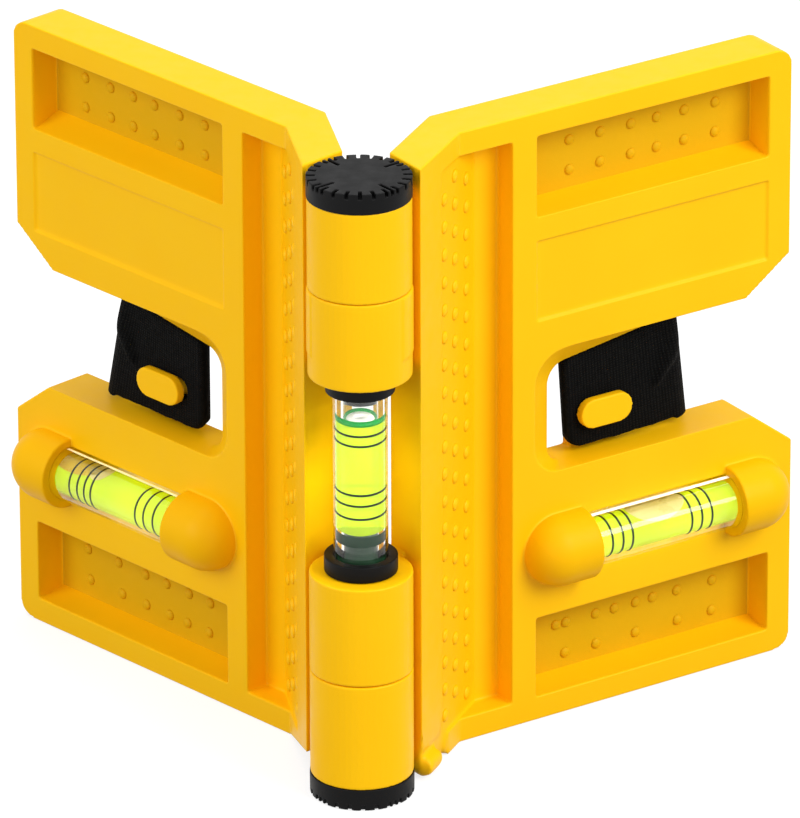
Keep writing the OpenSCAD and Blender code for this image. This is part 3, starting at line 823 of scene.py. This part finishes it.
def dress_post_vial():
    body = "left_wing"
    centre, radius = middle("post_vial_tube"), half_width("post_vial_tube")
    bore = half_width("post_vial_liquid") + WALL_CLEARANCE * MM
    length = 2 * half_height("post_vial_tube")
    glass = "post_vial_glass"
    add_tube("post_vial_tube", glass, POST_CLEAR, body, centre, UP, bore, radius, length)
    bm = bmesh.new()
    for z in POST_RINGS:
        add_ring(bm, UP * z * MM, UP, bore)
    add_piece("post_vial_rings", bm, INK, body, smooth=False)
    wet = bore + WALL_BITE * MM
    mesh = upright_rod("post_vial_spirit", "post_vial_liquid", wet)
    add_spirit("post_vial_liquid", "post_vial_spirit", body, mesh, LIME)
    crown_liquid("post_vial_meniscus", MENISCUS_PROFILE, wet + MENISCUS_GROWTH * MM, GREEN)
    # A painted highlight that glows on the liquid's top, for the reflection on its surface.
    crown_liquid("post_vial_surface", SURFACE_HIGHLIGHT_PROFILE, wet, WHITE_PAINTED_HIGHLIGHT)
    mesh = upright_rod("post_vial_stopper", "post_vial_lower_plug", wet, STOPPER_GROOVE * MM)
    stopper = add_object("post_vial_stopper", mesh, [PLUG], body)
    stopper.data.set_sharp_from_angle(angle=SHARP_EDGE)
    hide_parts("post_vial_lower_plug")


# Strap

STRAP_FRONT = 11.5
STRAP_T = 1.6
STRAP_END_T = 2.8
STRAP_END_LENGTH = 20.0
STRAP_LOW = 52.8
STRAP_W = 23.0
STRAP_IN = {LEFT: 57.2, RIGHT: 56.2}
STRAP_IN_LEAN = {LEFT: 0.0, RIGHT: 1.6}
FOLD_REACH = 80.4
FOLD_R = 4.0
LOOP_START = math.radians(10)
FOLD_ANGLE = math.radians(90) + LOOP_START - YAW
ACROSS = 37
STRAIGHT_STEPS, FOLD_STEPS, LOOP_STEPS = 56, 16, 120
LOOP_LEAN_STEPS = 30
CORNER_R = 3.5
RIPPLES = ((0.06, 0.9), (0.04, 2.3))
RISE_BEFORE, RISE_RUN = 12, 16
WORN, WORN_RUN = 0.8, 2.5
CUT_EDGE_START = (50.6, 71.9)
CUT_EDGE_RISE, CUT_EDGE_RUN = 5.3, 38
THINNING_BEFORE, THINNING_RUN = 4, 6
EDGE_W = 0.9
EDGE_PINCH = 0.4
END_PINCH = 1.5
LEAN_FROM = 8
LEAN = {LEFT: (-2.2, 2.9), RIGHT: (-1.1, 1.6)}
FOLD_RISE = {LEFT: 0.3, RIGHT: 0.9}
TUCK_START = (75.5, 61.0)
TUCK_RUN = (0.62, 0.78)
TUCK_HEIGHT = 1.2
TUCK_W, TUCK_SPREAD = 0.7, 0.16
TUCK_HOLLOW, TUCK_ASIDE = 0.7, 1.7
TUCK_RAMP = 3
SLOT = {LEFT: (11.6, 5.0), RIGHT: (10.8, 4.8)}
SLOT_CENTRE = {LEFT: (67.0, 60.6), RIGHT: (63.7, 60.4)}
SLOT_AROUND = 40
SLOT_PAST = 3


def add_band(name, rows, material, body):
    """A closed band from rows across it: front points, back points and length along the band."""
    bm = bmesh.new()
    layers = [[], []]
    for front, back, _ in rows:
        layers[0].append([bm.verts.new(p) for p in front])
        layers[1].append([bm.verts.new(p) for p in back])
    uv = bm.loops.layers.uv.new("strap")
    across = len(rows[0][0])
    place = {}
    for layer in layers:
        for i, row in enumerate(layer):
            for j, vert in enumerate(row):
                place[vert] = (rows[i][2] * MM, j / (across - 1) * STRAP_W * MM)
    quads = []
    front, back = layers
    for i in range(len(rows) - 1):
        for layer in layers:
            for j in range(across - 1):
                quads.append((layer[i][j], layer[i + 1][j], layer[i + 1][j + 1], layer[i][j + 1]))
        for j in (0, across - 1):
            quads.append((front[i][j], front[i + 1][j], back[i + 1][j], back[i][j]))
    for i in (0, len(rows) - 1):
        for j in range(across - 1):
            quads.append((front[i][j], front[i][j + 1], back[i][j + 1], back[i][j]))
    for quad in quads:
        for loop in bm.faces.new(quad).loops:
            loop[uv].uv = place[loop.vert]
    return add_piece(name, bm, material, body)


def low_edge(side, reach):
    """The strap's lower edge: a rounded corner at its end, slight ripples and a rise into the fold."""
    corner = max(0.0, min(1.0, (STRAP_IN[side] + CORNER_R - reach) / CORNER_R))
    rounded = CORNER_R * (1 - math.sqrt(1 - corner**2))
    ripple = sum(height * math.sin(pace * reach) for height, pace in RIPPLES)
    rise = FOLD_RISE[side] * smooth_step((reach - FOLD_REACH + RISE_BEFORE) / RISE_RUN)
    return STRAP_LOW + rounded + ripple + rise


def high_edge(side, reach):
    """The strap's upper edge, which clears the sloped edge of the cut-out."""
    worn = WORN * max(0.0, 1 - (reach - STRAP_IN[side]) / WORN_RUN) ** 2
    start, height = CUT_EDGE_START
    cut_edge = height + (reach - start) * CUT_EDGE_RISE / CUT_EDGE_RUN
    return min(STRAP_LOW + STRAP_W, cut_edge) - worn


def lean(side, z):
    """How far the fold leans in towards the hinge as it rises."""
    low, high = LEAN[side]
    return low + (high - low) * (z - STRAP_LOW) / STRAP_W


def tuck(reach, z):
    """Height of the slanting tuck that the strap's pull makes next to its fold."""
    out, rise = reach - TUCK_START[0], z - TUCK_START[1]
    along = out * TUCK_RUN[0] + rise * TUCK_RUN[1]
    aside = out * TUCK_RUN[1] - rise * TUCK_RUN[0]
    width = TUCK_W + TUCK_SPREAD * max(0.0, along)
    hollow = TUCK_HOLLOW * math.exp(-(((aside - TUCK_ASIDE * width) / width) ** 2))
    ridge = math.exp(-((aside / width) ** 2)) - hollow
    return TUCK_HEIGHT * smooth_step(along / TUCK_RAMP) * ridge


def straight_rows(side):
    """The rows of a strap's end from its hooked end to its fold."""
    rows = []
    inner = STRAP_IN[side]
    for i in range(STRAIGHT_STEPS + 1):
        reach = inner + (FOLD_REACH - inner) * i / STRAIGHT_STEPS
        single = smooth_step((reach - inner - STRAP_END_LENGTH + THINNING_BEFORE) / THINNING_RUN)
        thick = STRAP_END_T + (STRAP_T - STRAP_END_T) * single
        towards_fold = smooth_step((reach - inner - LEAN_FROM) / (FOLD_REACH - inner - LEAN_FROM))
        low, high = low_edge(side, reach), high_edge(side, reach)
        front, back = [], []
        for j in range(ACROSS):
            z = low + (high - low) * j / (ACROSS - 1)
            edge = min(1.0, min(z - low, high - z, (reach - inner) * END_PINCH) / EDGE_W)
            pinch = EDGE_PINCH * thick * (1 - math.sqrt(1 - (1 - edge) ** 2))
            swell = tuck(reach, z) * edge
            end_lean = STRAP_IN_LEAN[side] * (z - STRAP_LOW) / STRAP_W
            leaned = reach - lean(side, z) * towards_fold - end_lean * (1 - towards_fold)
            front.append(wing_point(side, leaned, STRAP_FRONT + pinch - max(0.0, swell), z))
            back.append(wing_point(side, leaned, STRAP_FRONT + thick - pinch, z))
        rows.append((front, back, reach - inner))
    return rows


def fold_rows(side):
    """The rows of a strap's end around its fold, up to the loop."""
    rows = []
    centre = STRAP_FRONT + STRAP_T / 2 + FOLD_R
    for i in range(1, FOLD_STEPS + 1):
        angle = FOLD_ANGLE * i / FOLD_STEPS
        reach = FOLD_REACH + FOLD_R * angle
        low, high = low_edge(side, reach), high_edge(side, reach)
        fading = 1 - smooth_step(i / FOLD_STEPS)
        front, back = [], []
        for j in range(ACROSS):
            z = low + (high - low) * j / (ACROSS - 1)
            swell = max(0.0, tuck(reach, z)) * fading
            for layer, r in ((front, FOLD_R + STRAP_T / 2 + swell), (back, FOLD_R - STRAP_T / 2)):
                out = FOLD_REACH + r * math.sin(angle) - lean(side, z)
                layer.append(wing_point(side, out, centre - r * math.cos(angle), z))
        rows.append((front, back, reach - STRAP_IN[side]))
    return rows


def cut_slot(piece, side):
    """Opens the buttonhole for the peg in a strap's end."""
    reach, z = SLOT_CENTRE[side]
    length, width = SLOT[side]
    half = width / 2
    bm = bmesh.new()
    rims = []
    for back in (STRAP_FRONT - SLOT_PAST, STRAP_FRONT + STRAP_END_T + SLOT_PAST):
        rim = []
        for i in range(SLOT_AROUND):
            turn = 2 * math.pi * i / SLOT_AROUND
            shift = math.copysign(length / 2 - half, math.cos(turn))
            out, height = reach + shift + half * math.cos(turn), z + half * math.sin(turn)
            rim.append(bm.verts.new(wing_point(side, out, back, height)))
        rims.append(rim)
    bm.faces.new(rims[0])
    bm.faces.new(list(reversed(rims[1])))
    for i in range(SLOT_AROUND):
        j = (i + 1) % SLOT_AROUND
        bm.faces.new((rims[0][i], rims[0][j], rims[1][j], rims[1][i]))
    piece.data = cut_away(piece.data, finished_mesh("slot", bm))


def add_strap_end(side):
    name = SIDE_NAME[side]
    rows = straight_rows(side) + fold_rows(side)
    end = add_band(f"{name}_strap_webbing", rows, ELASTIC, BODY[side])
    cut_slot(end, side)
    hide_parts(f"{name}_strap_end")


def loop_rows(fold_end):
    """The rows of the slack loop, an arc from the right fold's end to the left one's."""
    loop_r = fold_end.x / math.cos(LOOP_START)
    loop_y = fold_end.y - loop_r * math.sin(LOOP_START)
    low = low_edge(RIGHT, FOLD_REACH + FOLD_R * FOLD_ANGLE)
    high = STRAP_LOW + STRAP_W
    rows = []
    for i in range(LOOP_STEPS + 1):
        angle = LOOP_START + (math.pi - 2 * LOOP_START) * i / LOOP_STEPS
        side = RIGHT if i <= LOOP_STEPS / 2 else LEFT
        to_end = 1 - smooth_step(min(i, LOOP_STEPS - i) / LOOP_LEAN_STEPS)
        front, back = [], []
        for j in range(ACROSS):
            z = low + (high - low) * j / (ACROSS - 1)
            shift = wing_direction(side, 1, 0) * lean(side, z) * to_end
            for layer, r in ((front, loop_r + STRAP_T / 2), (back, loop_r - STRAP_T / 2)):
                place = Vector((r * math.cos(angle), loop_y + r * math.sin(angle), z))
                layer.append((place - shift) * MM)
        rows.append((front, back, loop_r * (angle - LOOP_START)))
    return rows


def add_strap_loop():
    """The slack loop between the two folds, which bends between the wings."""
    end_back = STRAP_FRONT + STRAP_T / 2 + FOLD_R * (1 - math.cos(FOLD_ANGLE))
    fold_end = wing_point(RIGHT, FOLD_REACH + FOLD_R * math.sin(FOLD_ANGLE), end_back, 0) / MM
    rows = loop_rows(fold_end)
    loop = add_band("strap_loop_webbing", rows, ELASTIC, None)
    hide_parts("strap_loop")
    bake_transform(loop)


# Floor, light and camera, in metres but for the camera's target

FLOOR_HALF = 4.0
FLOOR_Z = -0.0002
FLOOR_GREY = 0.32
FLOOR_GLOW = 0.78
WORLD_LIGHT = 0.42
AIM = (0, 0.04, 0.06)
LAMPS = (
    ("key_softbox", (1.0, -0.5, 0.85), 0.8, 15.0),
    ("fill_softbox", (-0.95, -0.6, 0.6), 0.9, 8.0),
    ("front_softbox", (0.15, -1.3, 0.6), 0.9, 2.0),
    ("top_softbox", (0.0, 0.25, 1.2), 1.0, 5.2),
)
AZIMUTH, ELEVATION, ROLL = (math.radians(angle) for angle in (6.35, 23.77, -0.20))
CAMERA_DISTANCE = 1.94
CAMERA_TARGET = (7.54, 79.85)
CAMERA_RANGE = 20
FOCAL_PIXELS = 10223.7
PICTURE_HEIGHT = 818
SENSOR = 36


def add_seen(tree):
    """1 for rays that come straight from the camera or by way of gloss or glass, 0 for the rest."""
    path = tree.nodes.new("ShaderNodeLightPath")
    value = path.outputs["Is Camera Ray"]
    for other in ("Is Glossy Ray", "Is Transmission Ray"):
        either = tree.nodes.new("ShaderNodeMath")
        either.operation = "MAXIMUM"
        tree.links.new(value, either.inputs[0])
        tree.links.new(path.outputs[other], either.inputs[1])
        value = either.outputs["Value"]
    return value


def add_floor():
    signs = ((-1, -1), (1, -1), (1, 1), (-1, 1))
    corners = [(x * FLOOR_HALF, y * FLOOR_HALF, FLOOR_Z) for x, y in signs]
    mesh = bpy.data.meshes.new("floor")
    mesh.from_pydata(corners, [], [(0, 1, 2, 3)])
    floor = bpy.data.objects.new("floor", mesh)
    bpy.context.collection.objects.link(floor)
    paper, tree, shader = new_material("pale_floor")
    shader.inputs["Base Color"].default_value = (FLOOR_GREY, FLOOR_GREY, FLOOR_GREY, 1)
    shader.inputs["Roughness"].default_value = 0.9
    shader.inputs["Specular IOR Level"].default_value = 0.0
    shader.inputs["Emission Color"].default_value = (FLOOR_GLOW, FLOOR_GLOW, FLOOR_GLOW, 1)
    tree.links.new(add_seen(tree), shader.inputs["Emission Strength"])
    mesh.materials.append(paper)


def add_world():
    world = bpy.data.worlds.new("studio")
    bpy.context.scene.world = world
    world.use_nodes = True
    tree = world.node_tree
    background = tree.nodes["Background"]
    background.inputs["Color"].default_value = (1, 1, 1, 1)
    strength = add_range(tree, add_seen(tree), WORLD_LIGHT, 1.0, 0.0, 1.0)
    tree.links.new(strength, background.inputs["Strength"])


def add_lamp(name, place, size, power):
    data = bpy.data.lights.new(name, "AREA")
    data.shape = "SQUARE"
    data.size = size
    data.energy = power
    lamp = bpy.data.objects.new(name, data)
    bpy.context.collection.objects.link(lamp)
    lamp.location = place
    lamp.rotation_euler = (Vector(AIM) - Vector(place)).to_track_quat("-Z", "Y").to_euler()


def add_camera():
    right = Vector((math.cos(AZIMUTH), math.sin(AZIMUTH), 0))
    ahead = Vector((-math.sin(AZIMUTH), math.cos(AZIMUTH), 0))
    behind = UP * math.sin(ELEVATION) - ahead * math.cos(ELEVATION)
    above = behind.cross(right)
    target = (right * CAMERA_TARGET[0] + UP * CAMERA_TARGET[1]) * MM
    data = bpy.data.cameras.new("camera")
    data.sensor_fit = "VERTICAL"
    data.sensor_height = SENSOR
    data.lens = SENSOR * FOCAL_PIXELS / PICTURE_HEIGHT
    data.clip_end = CAMERA_RANGE
    camera = bpy.data.objects.new("camera", data)
    bpy.context.collection.objects.link(camera)
    across = right * math.cos(ROLL) + above * math.sin(ROLL)
    upright = above * math.cos(ROLL) - right * math.sin(ROLL)
    turned = Matrix((across, upright, behind)).transposed().to_4x4()
    camera.matrix_world = Matrix.Translation(target + behind * CAMERA_DISTANCE) @ turned
    bpy.context.scene.camera = camera


for side in (LEFT, RIGHT):
    dress_wing(side)
    add_window_sills(side)
    add_grip_dots(side)
    dress_wing_vial(side)
    add_strap_end(side)
dress_column()
dress_post_vial()
add_strap_loop()

add_floor()
add_world()
for lamp in LAMPS:
    add_lamp(*lamp)
add_camera()
bpy.context.scene.view_settings.view_transform = "Standard"
